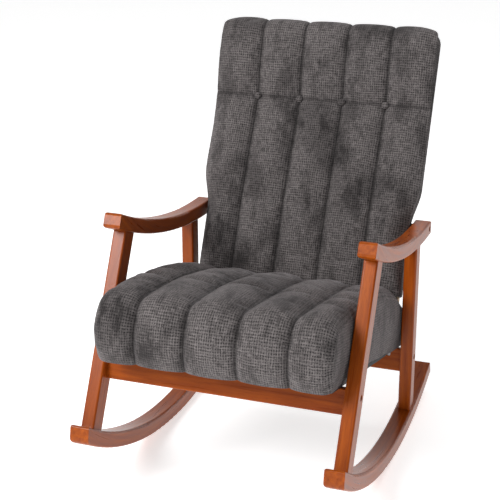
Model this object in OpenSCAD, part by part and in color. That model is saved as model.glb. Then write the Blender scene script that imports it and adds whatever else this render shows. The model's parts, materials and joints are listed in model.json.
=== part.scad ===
// Rocking chair: a bolted wooden frame on curved rockers that carries an upholstered
// seat unit and a reclined, channel-tufted back unit.
// +Z is up, the chair faces -Y, and the floor touches the rockers at z = 0.

/* [Overall] */
// Width over the outer faces of the rockers and armrests
chair_w = 620; // [600:1:660]

/* [Rockers] */
// Width of a rocker
rocker_w = 44.5; // [40:0.5:50]
// Thickness of a rocker
rocker_h = 37; // [34:1:42]
// Radius of the rolling surface
rocker_r = 990; // [960:5:1050]
// Distance from the floor contact forward to the top of the front end
rocker_front = 541; // [520:1:560]
// Distance from the floor contact back to the top of the rear end
rocker_rear = 300; // [260:1:340]
// Lean of the front end's cut from vertical
rocker_tip_lean = 12; // [5:1:25]
// Radius of the rounded lower corner at the front end
rocker_toe_r = 18; // [8:1:24]

/* [Armrests] */
// Width of an armrest
arm_w = 40; // [36:1:46]
// Thickness of an armrest
arm_h = 35; // [32:1:40]
// Radius of an armrest's underside
arm_r = 1369; // [1300:1:1450]
// How far behind the floor contact the armrest's arc is centred
arm_centre_y = 233; // [220:1:240]
// Height of the centre of the armrest's arc
arm_centre_z = 1836; // [1825:1:1845]
// Angle from straight down to the armrest's front end
arm_front_angle = 25; // [24:0.1:26]
// Angle from straight down to the armrest's rear end
arm_rear_angle = 0.4; // [0:0.1:1]

/* [Legs] */
// Width of every leg
leg_w = 31; // [28:1:34]
// Depth of a front leg
front_leg_d = 48; // [44:1:52]
// Backward lean of a front leg
front_leg_lean = 27; // [26:0.5:28]
// Where a front leg's centre line would reach the floor, ahead of the contact point
front_leg_foot = 570; // [560:1:575]
// Depth of a rear leg
rear_leg_d = 40; // [36:1:46]
// Distance of the rear legs behind the floor contact
rear_leg_y = 111; // [105:1:116]
// Distance from a rocker's outer face in to a leg's outer face
leg_inset = 5; // [3:0.5:6]

/* [Rails and seat unit] */
// Height of the front and rear rails
rail_h = 57; // [52:1:62]
// Thickness of the rails
rail_t = 23; // [20:1:25]
// Backward slope of the seat's underside
seat_tilt = 13.8; // [13:0.1:14.5]
// Distance between the centres of the two rails, along the seat
rail_spacing = 540; // [536:1:544]
// Width of the seat cushion
seat_w = 536; // [520:1:538]
// Height of the boards of the seat's box frame
board_h = 80; // [70:1:84]
// Thickness of those boards
board_t = 25; // [20:1:25]

/* [Back unit] */
// Recline of the back from vertical
back_recline = 24; // [23:0.5:25]
// Width of the back where it passes between the armrests
back_w = 528; // [515:1:532]
// Width of the back above the armrests
head_w = 556; // [530:1:570]
// Height of the back above its datum line
back_top = 510; // [480:1:530]
// Depth of the back unit behind its datum line
back_d = 80; // [80:1:85]

/* [Hidden] */
$fn = 48;
big_fn = 360;                 // facets of the large circles
slack = 1;                    // how far a cutter runs past the face that it opens

wood = [0.52, 0.22, 0.09];
pine = [0.80, 0.66, 0.45];
fabric = [0.36, 0.34, 0.33];
foam = [0.90, 0.86, 0.70];
strap = [0.16, 0.16, 0.17];
lining = [0.05, 0.05, 0.05];
steel = [0.62, 0.63, 0.65];

// The drawing's Y is measured from the floor contact; this moves the middle of the
// chair's length to Y = 0.
length_mid = -68.67;

// Wooden frame
edge_r = 5;                   // rounding along the long edges of the bent members
leg_edge_r = 4;               // rounding along a leg's edges
end_r = 5;                    // rounding at the ends of the rockers
arm_end_r = 8;                // rounding at the ends of the armrests
rocker_x = (chair_w - rocker_w) / 2;
arm_x = (chair_w - arm_w) / 2;
leg_x = chair_w / 2 - leg_inset - leg_w / 2;
rail_w = 2 * leg_x - leg_w;
rocker_top_r = rocker_r - rocker_h;
rocker_rear_angle = asin(rocker_rear / rocker_top_r);
rocker_sweep = asin(rocker_front / rocker_top_r) + 0.5;
tip_line = [-cos(rocker_tip_lean), sin(rocker_tip_lean)]
    * [-rocker_front, -sqrt(pow(rocker_top_r, 2) - pow(rocker_front, 2))];

// Distance along a leg's centre line, from the floor, to a circle about [0, cy, cz]
function leg_meets(foot, lean, cy, cz, r) =
    let (b = sin(lean) * (foot - cy) - cos(lean) * cz,
         c = pow(foot - cy, 2) + cz * cz - r * r)
    -b - sqrt(b * b - c);

// [y where the centre line reaches the floor, lean, dowel spacing] of front and rear legs
leg_lines = [[-front_leg_foot, front_leg_lean, 24], [rear_leg_y, 0, 20]];
dowel_r = 5;
dowel_len = 36;

// Bolted joints
bolt_r = 3;
bolt_hole_r = 3.5;
bolt_head_r = 5.5;
bolt_head_h = 6;
recess_r = 7;
recess_h = 9;
barrel_r = 5;
barrel_len = 16;
barrel_in = 32;               // from a leg's inner face to the centre of its barrel nut
bolt_tip = 8;                 // how far a bolt runs past its barrel nut
bolt_drop = 17;               // bolts below the top of the rails
socket_r = 2.9;               // hexagon socket of a bolt, over its corners
socket_h = 3.5;
rail_y = [5, 5 + rail_spacing];

// Seat unit, drawn on the plane of the rails' top faces
seat_y = -410;
seat_z = 325.5;
cover_t = 2.5;                // thickness of the fabric with its wadding
dust_t = 1;
strap_t = 2.5;
strap_w = 50;
board_x = 256;                // outer face of the side boards
front_board_y = -75;
rear_board_y = rail_y[1] - board_t / 2;
board_z = dust_t + board_h;
strap_z = board_z + strap_t;
// Side outline from the lower front corner up, over the top and down the rear face
seat_outline = [
    [-90, 0], [-136, 134], [107, 175], [223, 182], [327, 176], [445, 157], [548, 110], [562, 86],
    [562, 0]
];
seat_nose_r = 55;             // rounding of the upper front edge
screw_x = [-150, 0, 150];
screw_r = 2.25;
screw_head_r = 4.5;
screw_pocket = 22;            // depth of the pocket that a seat screw's head sits in
screw_reach = 22;             // how far the seat screws run above the rails
head_h = 3;                   // thickness of a screw's head
block_size = 60;              // legs of a corner block
block_h = 30;                 // height of the corner blocks and the cross member
long_webs = [-180:90:180];
cross_webs = [60:110:390];

// Back unit, drawn with Y as depth behind its datum line and Z along its height
back_y = 140.5;
back_z = 496;
back_front = -12;
back_bottom = -160;
back_gap = 2.5;               // clearance between the back unit and the seat cushion
shoulder = [60, 105];         // heights between which the back widens above the arms
head_corner_r = 48;
back_nose_r = 35;
stile_x = 256;                // outer face of the stiles
stile_w = 25;
stile_y = 46;                 // front face of the back's frame
stile_d = 30;
back_rail_h = 70;
top_rail_z = 415;
middle_rail_z = 150;
bottom_rail_z = back_bottom + 15;
ply_t = 15;                   // plywood board in front of the back's frame
ply_z = [back_bottom + 10, back_top - 30];
rear_t = 2;                   // hardboard inside the rear panel
arm_bolt = [65, 17];          // depth and height of the armrest bolts
button_z = 307;
button_x = [-167, -56, 56, 167];
spacer_r = 9;
button_y = 16;                // depth of a button's seat
button_r = 10;
button_h = 8;
tuft_r = button_r + 0.5;      // radius of the pocket that a button is pulled into
tie_r = 1;                    // twine that holds a button
insert_len = 20;

// Flat steel plates between the back's stiles and the seat's side boards
plate_t = 3;
plate_w = 22;
plate_len = 90;
plate_screw_z = [-36, -16, 16, 36];
plate_screw_r = 2;
plate_screw_len = 22;
seat_up = [sin(seat_tilt), cos(seat_tilt)];
back_up = [sin(back_recline), cos(back_recline)];
back_behind = [cos(back_recline), -sin(back_recline)];
// Height at which the middle of a stile stands on its side board
plate_z = (board_z - seat_up * ([back_y - seat_y, back_z - seat_z]
    + (stile_y + stile_d / 2) * back_behind)) / (seat_up * back_up);

// ---- placing ----

// Space of the whole chair, measured from the floor contact
module chair_space() translate([0, -length_mid, 0]) children();

// Seat space: Y runs back along the seat's underside and Z is square to it
module seat_space()
    chair_space() translate([0, seat_y, seat_z]) rotate([-seat_tilt, 0, 0]) children();

// Back space: Y is depth behind the datum line and Z runs up the back
module back_space()
    chair_space() translate([0, back_y, back_z]) rotate([-back_recline, 0, 0]) children();

// Leg space: Z runs up the centre line of a front (0) or rear (1) leg
module leg_space(side, which)
    chair_space() translate([side * leg_x, leg_lines[which][0], 0])
        rotate([-leg_lines[which][1], 0, 0]) children();

// A flat outline in Y and Z, given a thickness centred on X
module across(w) rotate([90, 0, 90]) linear_extrude(w, center = true) children();

// A round bar or bore along X between two distances, on one side of the chair
module side_rod(side, from, to, r)
    translate([side * (from + to) / 2, 0, 0]) rotate([0, 90, 0])
        cylinder(r = r, h = abs(to - from), center = true);

// A block between two corners
module board(x0, x1, y0, y1, z0, z1) translate([x0, y0, z0]) cube([x1 - x0, y1 - y0, z1 - z0]);

// A block on one side of the chair, from x0 out to x1
module side_block(side, x0, x1, y0, y1, z0, z1)
    board(min(side * x0, side * x1), max(side * x0, side * x1), y0, y1, z0, z1);

// ---- shapes ----

module rounded_rect(w, h, r) {
    square([w - 2 * r, h], center = true);
    square([w, h - 2 * r], center = true);
    for (x = [-1, 1], y = [-1, 1]) translate([x * (w / 2 - r), y * (h / 2 - r)]) circle(r);
}

// What lies past one end of a bent bar, in Y and Z about the arc's centre. The end's
// line leans by lean and lies line from the centre, and side is 1 at the rear end.
module bar_end(radius, h, lean, line, side, r_out, r_in) {
    along = [sin(lean), -cos(lean)];
    out = side * [cos(lean), sin(lean)];
    middle = out * line + along * sqrt(pow(radius - h / 2, 2) - line * line);
    translate(middle) rotate(atan2(out[1], out[0])) translate([0, -h]) square([h, 2 * h]);
    for (corner = [[radius - r_out, r_out, 1], [radius - h + r_in, r_in, -1]]) {
        r = corner[1];
        c = out * (line - r) + along * sqrt(pow(corner[0], 2) - pow(line - r, 2));
        up = corner[2] * c / norm(c);
        difference() {
            translate(c) polygon([[0, 0], 2 * r * out, 2 * r * (out + up), 2 * r * up]);
            translate(c) circle(r);
        }
    }
}

// A bar bent on an arc about the origin, swept between two angles from straight down
module bent_bar(radius, h, w, from, to)
    rotate([0, 90, 0]) rotate([0, 0, from]) rotate_extrude(angle = to - from, $fn = big_fn)
        translate([radius - h / 2, 0]) rounded_rect(h, w, edge_r);

// A wide cylinder about an arc's centre, used to fit a leg to a bent bar
module arc_cylinder(cy, cz, r)
    chair_space() translate([0, cy, cz]) rotate([0, 90, 0])
        cylinder(r = r, h = 2 * chair_w, center = true, $fn = big_fn);

module dowels(side, which)
    for (joint = [[0, rocker_r, rocker_top_r], [arm_centre_y, arm_centre_z, arm_r]]) {
        z = leg_meets(leg_lines[which][0], leg_lines[which][1], joint[0], joint[1], joint[2]);
        for (y = [-0.5, 0.5] * leg_lines[which][2])
            leg_space(side, which) translate([0, y, z])
                cylinder(r = dowel_r, h = dowel_len, center = true);
    }

// Bores for one leg bolt: a recess for its head and a clearance hole through the leg
module leg_bolt_bores(side, which)
    seat_space() translate([0, rail_y[which], -bolt_drop]) {
        side_rod(side, leg_x - leg_w, leg_x + leg_w, bolt_hole_r);
        side_rod(side, leg_x + leg_w / 2 - recess_h, leg_x + leg_w, recess_r);
    }

// A socket-head bolt along X, its head's seat at head_x and its tip at tip_x
module bolt(side, head_x, tip_x) difference() {
    union() {
        side_rod(side, tip_x, head_x, bolt_r);
        side_rod(side, head_x, head_x + bolt_head_h, bolt_head_r);
    }
    translate([side * (head_x + bolt_head_h), 0, 0]) rotate([0, 90, 0])
        cylinder(r = socket_r, h = 2 * socket_h, center = true, $fn = 6);
}

// A wood screw along Z, its head's outer face at z = 0
module screw(r, head_r, length) {
    cylinder(r = head_r, h = head_h);
    translate([0, 0, head_h]) cylinder(r = r, h = length - head_h);
}

// ---- wooden frame ----

module rocker(side) color(wood) difference() {
    chair_space() translate([side * rocker_x, 0, rocker_r]) difference() {
        bent_bar(rocker_r, rocker_h, rocker_w, -rocker_sweep, rocker_rear_angle);
        across(rocker_w + 2 * slack) {
            bar_end(rocker_r, rocker_h, -rocker_tip_lean, tip_line, -1, rocker_toe_r, end_r);
            bar_end(rocker_r, rocker_h, rocker_rear_angle, 0, 1, end_r, end_r);
        }
    }
    for (which = [0, 1]) dowels(side, which);
}

module armrest(side) color(wood) difference() {
    chair_space() translate([side * arm_x, arm_centre_y, arm_centre_z]) difference() {
        bent_bar(arm_r, arm_h, arm_w, -arm_front_angle, -arm_rear_angle);
        across(arm_w + 2 * slack) {
            bar_end(arm_r, arm_h, -arm_front_angle, 0, -1, arm_end_r, arm_end_r);
            bar_end(arm_r, arm_h, -arm_rear_angle, 0, 1, arm_end_r, arm_end_r);
        }
    }
    for (which = [0, 1]) dowels(side, which);
    back_space() translate([0, arm_bolt[0], arm_bolt[1]]) {
        side_rod(side, arm_x - arm_w, arm_x + arm_w, bolt_hole_r);
        side_rod(side, arm_x + arm_w / 2 - recess_h, arm_x + arm_w, recess_r);
    }
}

module leg(side, which, depth) color(wood) difference() {
    intersection() {
        leg_space(side, which) linear_extrude(rocker_r) rounded_rect(leg_w, depth, leg_edge_r);
        arc_cylinder(0, rocker_r, rocker_top_r);
    }
    arc_cylinder(arm_centre_y, arm_centre_z, arm_r);
    dowels(side, which);
    leg_bolt_bores(side, which);
}

module rail(which) color(wood) seat_space() translate([0, rail_y[which], 0]) difference() {
    translate([0, 0, -rail_h / 2]) rotate([0, 90, 0]) linear_extrude(rail_w, center = true)
        rounded_rect(rail_h, rail_t, 3);
    for (side = [-1, 1]) translate([0, 0, -bolt_drop]) {
        side_rod(side, rail_w / 2 - barrel_in - bolt_tip, rail_w / 2 + slack, bolt_hole_r);
        translate([side * (rail_w / 2 - barrel_in), 0, 0]) barrel_bore(which == 0 ? 1 : -1);
    }
    for (x = screw_x) translate([x, 0, -rail_h - slack]) {
        cylinder(r = screw_head_r + 1, h = screw_pocket + slack);
        cylinder(r = screw_r, h = rail_h + 2 * slack);
    }
}

// Blind bore for a barrel nut, open on the rail's inner face
module barrel_bore(inward)
    translate([0, inward * (rail_t / 2 + slack - barrel_len / 2 - 2), 0]) rotate([90, 0, 0])
        cylinder(r = barrel_r, h = barrel_len + 4, center = true);

module leg_dowels() color(pine) for (side = [-1, 1], which = [0, 1]) dowels(side, which);

module leg_bolts() color(steel) seat_space() for (side = [-1, 1], which = [0, 1])
    translate([0, rail_y[which], -bolt_drop])
        bolt(side, leg_x + leg_w / 2 - recess_h, rail_w / 2 - barrel_in - bolt_tip + slack);

module barrel_nuts() color(steel) seat_space() for (side = [-1, 1], which = [0, 1])
    translate([side * (rail_w / 2 - barrel_in), rail_y[which], -bolt_drop]) difference() {
        rotate([90, 0, 0]) cylinder(r = barrel_r, h = barrel_len, center = true);
        rotate([0, 90, 0]) cylinder(r = bolt_r, h = 3 * barrel_r, center = true);
    }

// ---- seat unit ----

module seat_front_board() color(pine) seat_space()
    board(-board_x, board_x, front_board_y, front_board_y + board_t, dust_t, board_z);

module seat_rear_board() color(pine) seat_space() difference() {
    board(-board_x, board_x, rear_board_y, rear_board_y + board_t, dust_t, board_z);
    screw_holes(1);
}

module seat_side_board(side) color(pine) difference() {
    seat_space() side_block(side, board_x - board_t, board_x,
        front_board_y + board_t, rear_board_y, dust_t, board_z);
    plate_screw_holes();
}

// A low member across the seat's frame, screwed down on the front rail
module seat_cross_member() color(pine) seat_space() difference() {
    board(board_t - board_x, board_x - board_t, rail_y[0] - board_t / 2, rail_y[0] + board_t / 2,
        dust_t, dust_t + block_h);
    screw_holes(0);
}

module screw_holes(which) for (x = screw_x)
    translate([x, rail_y[which], 0]) cylinder(r = screw_r, h = screw_reach);

module seat_screws() color(steel) seat_space() for (x = screw_x, y = rail_y)
    translate([x, y, screw_pocket - rail_h - head_h])
        screw(screw_r, screw_head_r, rail_h - screw_pocket + head_h + screw_reach);

// Triangular glue blocks in the four corners of the box frame
module seat_corner_blocks() color(pine) seat_space()
    for (sx = [-1, 1], end = [[front_board_y + board_t, 1], [rear_board_y, -1]])
        translate([sx * (board_x - board_t), end[0], dust_t]) linear_extrude(block_h)
            polygon([[0, 0], [-sx * block_size, 0], [0, end[1] * block_size]]);

module seat_long_webbing() color(strap) seat_space() for (x = long_webs)
    board(x - strap_w / 2, x + strap_w / 2, front_board_y, rear_board_y + board_t, board_z, strap_z);

// Straps across the seat: they run under the long ones and end on the side boards
module seat_cross_webbing() color(strap) seat_space() for (y = cross_webs) {
    inner = board_x - board_t;
    board(-inner, inner, y, y + strap_w, board_z - strap_t, board_z);
    for (side = [-1, 1])
        side_block(side, inner - 2 * strap_t, board_x, y, y + strap_w, board_z, strap_z);
}

// Side outline of the seat cushion, with its upper front edge rounded
module seat_profile() {
    nose = seat_outline[1];
    up = seat_outline[2] - nose;
    down = seat_outline[0] - nose;
    half = (atan2(up[1], up[0]) - atan2(down[1], down[0])) / 2;
    middle = (atan2(up[1], up[0]) + atan2(down[1], down[0])) / 2;
    centre = nose + seat_nose_r / sin(half) * [cos(middle), sin(middle)];
    polygon(concat(
        [seat_outline[0]],
        [for (i = [-1:0.125:1])
            let (a = middle + 180 - i * (90 - half)) centre + seat_nose_r * [cos(a), sin(a)]],
        [for (i = [2:len(seat_outline) - 1]) seat_outline[i]]
    ));
}

// Inside of the seat's cover, open at the bottom
module seat_inside() translate([0, -cover_t]) offset(delta = -cover_t) seat_profile();

// The space that the back unit and its stiles take from the seat cushion
module back_clearance() back_space() {
    board(-chair_w, chair_w, back_front - back_gap, chair_w, back_bottom - back_gap, chair_w);
    inner = stile_x - stile_w - plate_t - head_h - slack;
    for (side = [-1, 1]) side_block(side, inner, stile_x + slack,
        stile_y - slack, stile_y + stile_d + slack, -chair_w / 2, back_bottom);
}

module seat_foam() color(foam) difference() {
    seat_space() across(seat_w - 2 * cover_t) intersection() {
        seat_inside();
        translate([-chair_w, strap_z]) square([3 * chair_w, chair_w]);
    }
    back_clearance();
}

// A roll of foam in front of the seat's front board
module seat_front_roll() color(foam) seat_space() across(2 * board_x) intersection() {
    seat_inside();
    translate([front_board_y - board_h, dust_t]) square(board_h);
}

module seat_cover() color(fabric) difference() {
    seat_space() difference() {
        across(seat_w) seat_profile();
        across(seat_w - 2 * cover_t) seat_inside();
    }
    back_clearance();
}

module seat_dust_cover() color(lining) seat_space()
    board(-seat_w / 2 + cover_t, seat_w / 2 - cover_t, front_board_y, rear_board_y + board_t, 0, dust_t);

// ---- back unit ----

// Front view of the back unit, drawn inset all round
module back_outline(inset) {
    low = back_w / 2 - inset;
    high = head_w / 2 - inset;
    top = back_top - inset;
    r = head_corner_r - inset;
    polygon([[-low, back_bottom + inset], [low, back_bottom + inset], [low, shoulder[0]],
        [high, shoulder[1]], [high, top - r], [-high, top - r], [-high, shoulder[1]],
        [-low, shoulder[0]]]);
    translate([-high + r, top - 2 * r]) square([2 * (high - r), 2 * r]);
    for (side = [-1, 1]) translate([side * (high - r), top - r]) circle(r, $fn = 96);
}

// Side view of the back unit, drawn inset all round
module back_side(inset) {
    r = back_nose_r - inset;
    top = back_top - inset;
    front = back_front + inset;
    rear = back_d - inset;
    translate([front, back_bottom + inset]) square([rear - front, top - r - back_bottom - inset]);
    translate([front + r, top - 2 * r]) square([rear - front - 2 * r, 2 * r]);
    for (y = [front + r, rear - r]) translate([y, top - r]) circle(r, $fn = 96);
}

// The back unit's padded shape, drawn inset all round
module back_form(inset) intersection() {
    across(head_w + slack) back_side(inset);
    translate([0, 2 * back_d, 0]) rotate([90, 0, 0]) linear_extrude(4 * back_d) back_outline(inset);
}

// Pockets that the buttons are pulled into
module tufts() for (x = button_x) translate([x, button_y, button_z]) rotate([90, 0, 0])
    cylinder(r = tuft_r, h = back_d);

// Twine from the buttons' seats to the rear face of the plywood
module ties() for (x = button_x) translate([x, button_y, button_z]) rotate([-90, 0, 0])
    cylinder(r = tie_r, h = stile_y - button_y);

module stile(side, spare) side_block(side, stile_x - stile_w - spare, stile_x + spare,
    stile_y - spare, stile_y + stile_d + spare, -chair_w / 2, top_rail_z);

// Hole for the insert nut that takes an armrest's bolt
module insert_bore() for (side = [-1, 1]) back_space() translate([0, arm_bolt[0], arm_bolt[1]])
    side_rod(side, stile_x - insert_len, stile_x + slack, bolt_head_r);

module back_stile(side) color(pine) difference() {
    back_space() stile(side, 0);
    seat_space() board(-chair_w, chair_w, -chair_w, 2 * chair_w, -chair_w, board_z);
    insert_bore();
    plate_screw_holes();
}

module back_rail(z, half_w) color(pine) back_space()
    board(-half_w, half_w, stile_y, stile_y + stile_d, z, z + back_rail_h);

module back_board() color(pine) back_space() difference() {
    board(-stile_x, stile_x, stile_y - ply_t, stile_y, ply_z[0], ply_z[1]);
    ties();
}

module back_foam() color(foam) back_space() difference() {
    intersection() {
        back_form(cover_t);
        board(-chair_w, chair_w, -chair_w, stile_y - ply_t, -chair_w, chair_w);
    }
    tufts();
    ties();
}

module back_cover() color(fabric) difference() {
    back_space() difference() {
        back_form(0);
        intersection() {
            back_form(cover_t);
            board(-chair_w, chair_w, -chair_w, stile_y + stile_d, -chair_w, chair_w);
        }
        board(-chair_w, chair_w, stile_y + stile_d, chair_w, -chair_w, chair_w);
        tufts();
        for (side = [-1, 1]) stile(side, 0.2);
    }
    back_space() translate([0, arm_bolt[0], arm_bolt[1]]) for (side = [-1, 1])
        side_rod(side, stile_x, chair_w / 2, spacer_r);
}

module back_rear_board() color(pine) back_space()
    board(-stile_x, stile_x, stile_y + stile_d, stile_y + stile_d + rear_t, ply_z[0], ply_z[1]);

module back_rear_cover() color(fabric) difference() {
    back_space() intersection() {
        back_form(0);
        board(-chair_w, chair_w, stile_y + stile_d, chair_w, -chair_w, chair_w);
    }
    back_rear_board();
}

module tuft_buttons() color(fabric) back_space() for (x = button_x)
    translate([x, button_y, button_z]) rotate([90, 0, 0]) intersection() {
        cylinder(r = button_r, h = button_h);
        translate([0, 0, -button_r / 2]) sphere(norm([button_r, button_r / 2 + button_h / 4]));
    }

module button_ties() color(strap) back_space() ties();

module arm_bolts() color(steel) back_space() translate([0, arm_bolt[0], arm_bolt[1]])
    for (side = [-1, 1]) bolt(side, arm_x + arm_w / 2 - recess_h, stile_x - insert_len + slack);

module arm_spacers() color(lining) back_space() translate([0, arm_bolt[0], arm_bolt[1]])
    for (side = [-1, 1]) difference() {
        side_rod(side, stile_x, arm_x - arm_w / 2, spacer_r);
        side_rod(side, stile_x - slack, arm_x, bolt_hole_r);
    }

module insert_nuts() color(steel) difference() {
    back_space() translate([0, arm_bolt[0], arm_bolt[1]])
        for (side = [-1, 1]) side_rod(side, stile_x - insert_len, stile_x, bolt_head_r);
    back_space() translate([0, arm_bolt[0], arm_bolt[1]])
        for (side = [-1, 1]) side_rod(side, 0, stile_x + slack, bolt_r);
}

// Axis of a plate's screw, pointing out of the chair
module plate_screw_axis(side, z) back_space()
    translate([side * (stile_x - stile_w - plate_t), stile_y + stile_d / 2, plate_z + z])
        rotate([0, side * 90, 0]) children();

module mending_plates() color(steel) difference() {
    back_space() for (side = [-1, 1])
        translate([side * (stile_x - stile_w - plate_t / 2), stile_y + stile_d / 2, plate_z])
            cube([plate_t, plate_w, plate_len], center = true);
    for (side = [-1, 1], z = plate_screw_z) plate_screw_axis(side, z)
        cylinder(r = plate_screw_r, h = 3 * plate_t, center = true);
}

module plate_screws() color(steel) for (side = [-1, 1], z = plate_screw_z)
    plate_screw_axis(side, z) translate([0, 0, -head_h])
        screw(plate_screw_r, 2 * plate_screw_r, plate_screw_len);

module plate_screw_holes() for (side = [-1, 1], z = plate_screw_z)
    plate_screw_axis(side, z) cylinder(r = plate_screw_r, h = plate_screw_len - head_h);

// ---- assembly ----

rocker(-1);  // left_rocker
rocker(1);  // right_rocker
leg(-1, 0, front_leg_d);  // left_front_leg
leg(1, 0, front_leg_d);  // right_front_leg
leg(-1, 1, rear_leg_d);  // left_rear_leg
leg(1, 1, rear_leg_d);  // right_rear_leg
armrest(-1);  // left_armrest
armrest(1);  // right_armrest
rail(0);  // front_rail
rail(1);  // rear_rail
leg_dowels();
leg_bolts();
barrel_nuts();
seat_front_board();
seat_rear_board();
seat_side_board(-1);  // seat_left_board
seat_side_board(1);  // seat_right_board
seat_cross_member();
seat_corner_blocks();
seat_screws();
seat_long_webbing();
seat_cross_webbing();
seat_foam();
seat_front_roll();
seat_cover();
seat_dust_cover();
back_stile(-1);  // back_left_stile
back_stile(1);  // back_right_stile
back_rail(top_rail_z, stile_x);  // back_top_rail
back_rail(middle_rail_z, stile_x - stile_w);  // back_middle_rail
back_rail(bottom_rail_z, stile_x - stile_w);  // back_bottom_rail
back_board();
back_foam();
back_cover();
back_rear_board();
back_rear_cover();
tuft_buttons();
button_ties();
arm_bolts();
arm_spacers();
insert_nuts();
mending_plates();
plate_screws();
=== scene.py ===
"""A rocking chair: cherry-stained wooden frame, channel-tufted seat and back in chenille.

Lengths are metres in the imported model's frame: X across, -Y to the front, Z up.
"""
import json
import math

import bmesh
import bpy
import numpy as np
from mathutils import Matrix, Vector, noise


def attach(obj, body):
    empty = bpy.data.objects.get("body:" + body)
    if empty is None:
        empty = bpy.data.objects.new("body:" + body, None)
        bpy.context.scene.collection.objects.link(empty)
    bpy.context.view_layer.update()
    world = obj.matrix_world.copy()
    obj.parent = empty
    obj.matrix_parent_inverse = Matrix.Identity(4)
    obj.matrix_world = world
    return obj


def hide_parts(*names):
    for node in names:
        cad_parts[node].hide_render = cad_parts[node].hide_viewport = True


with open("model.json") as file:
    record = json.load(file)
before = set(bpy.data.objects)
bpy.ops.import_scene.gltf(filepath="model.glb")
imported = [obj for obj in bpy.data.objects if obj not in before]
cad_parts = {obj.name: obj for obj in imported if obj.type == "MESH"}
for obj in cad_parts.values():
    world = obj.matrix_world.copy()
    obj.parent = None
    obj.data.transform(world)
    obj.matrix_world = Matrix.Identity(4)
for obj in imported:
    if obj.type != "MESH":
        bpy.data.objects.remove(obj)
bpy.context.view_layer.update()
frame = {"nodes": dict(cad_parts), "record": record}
MM = 0.001

# ---- camera ----

CAMERA_AZIMUTH = 19.54        # degrees, from straight in front towards +X
CAMERA_ELEVATION = 19.65
CAMERA_DISTANCE = 2.847
CAMERA_LENS = 92.5            # mm, on a 36 mm sensor
TARGET_AHEAD = 0.246          # how far the aim lies ahead of the rockers' floor contact
TARGET_Z = 0.5455

mounts = {m["name"]: m for m in frame["record"]["mounts"]}
contact_y = mounts["floor_contact"]["pos_m"][1]


def aim(thing, place, target):
    thing.location = place
    thing.rotation_euler = (Vector(target) - Vector(place)).to_track_quat("-Z", "Y").to_euler()


def polar(azimuth, elevation, distance):
    """A point at that distance from the origin, seen from in front."""
    azimuth, elevation = math.radians(azimuth), math.radians(elevation)
    return Vector((math.sin(azimuth) * math.cos(elevation), -math.cos(azimuth) * math.cos(elevation),
                   math.sin(elevation))) * distance


def make_camera():
    data = bpy.data.cameras.new("camera")
    data.lens = CAMERA_LENS
    data.sensor_width = 36
    camera = bpy.data.objects.new("camera", data)
    bpy.context.scene.collection.objects.link(camera)
    target = Vector((0, contact_y - TARGET_AHEAD, TARGET_Z))
    aim(camera, target + polar(CAMERA_AZIMUTH, CAMERA_ELEVATION, CAMERA_DISTANCE), target)
    bpy.context.scene.camera = camera


# ---- materials ----

class Nodes:
    """Short calls for building a material's node tree."""

    def __init__(self, name):
        self.material = bpy.data.materials.new(name)
        self.material.use_nodes = True
        self.tree = self.material.node_tree
        self.shader = self.tree.nodes["Principled BSDF"]

    def add(self, kind, inputs=(), **settings):
        node = self.tree.nodes.new("ShaderNode" + kind)
        for key, value in settings.items():
            setattr(node, key, value)
        for key, value in dict(inputs).items():
            self.feed(node.inputs[key], value)
        return node

    def feed(self, socket, value):
        if isinstance(value, bpy.types.NodeSocket):
            self.tree.links.new(value, socket)
        else:
            socket.default_value = value

    def math(self, operation, a, b=0.0):
        return self.add("Math", {0: a, 1: b}, operation=operation).outputs[0]

    def span(self, value, low, high, to_low=0.0, to_high=1.0):
        return self.add("MapRange", {"Value": value, "From Min": low, "From Max": high,
                                     "To Min": to_low, "To Max": to_high}).outputs[0]

    def mix(self, factor, a, b, blend="MIX"):
        node = self.add("Mix", data_type="RGBA", blend_type=blend)
        self.feed(node.inputs[0], factor)
        self.feed(node.inputs[6], a)
        self.feed(node.inputs[7], b)
        return node.outputs[2]

    def noise(self, vector, scale, detail=3.0, roughness=0.5):
        return self.add("TexNoise", {"Vector": vector, "Scale": scale, "Detail": detail,
                                     "Roughness": roughness}).outputs["Fac"]

    def stretched(self, vector, scale, turn=(0.0, 0.0, 0.0)):
        return self.add("Mapping", {"Vector": vector, "Rotation": turn, "Scale": scale}).outputs[0]

    def bump(self, height, distance, strength=1.0):
        normal = self.add("Bump", {"Height": height, "Distance": distance, "Strength": strength})
        self.feed(self.shader.inputs["Normal"], normal.outputs[0])

    def place(self):
        return self.add("TexCoord").outputs["Object"]

    def set(self, **sockets):
        for key, value in sockets.items():
            self.feed(self.shader.inputs[key.replace("_", " ")], value)


def rgb(r, g, b):
    return (r, g, b, 1.0)


STAIN_LIGHT = rgb(0.42, 0.088, 0.004)
STAIN_MID = rgb(0.22, 0.036, 0.002)
STAIN_DARK = rgb(0.085, 0.014, 0.003)


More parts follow.
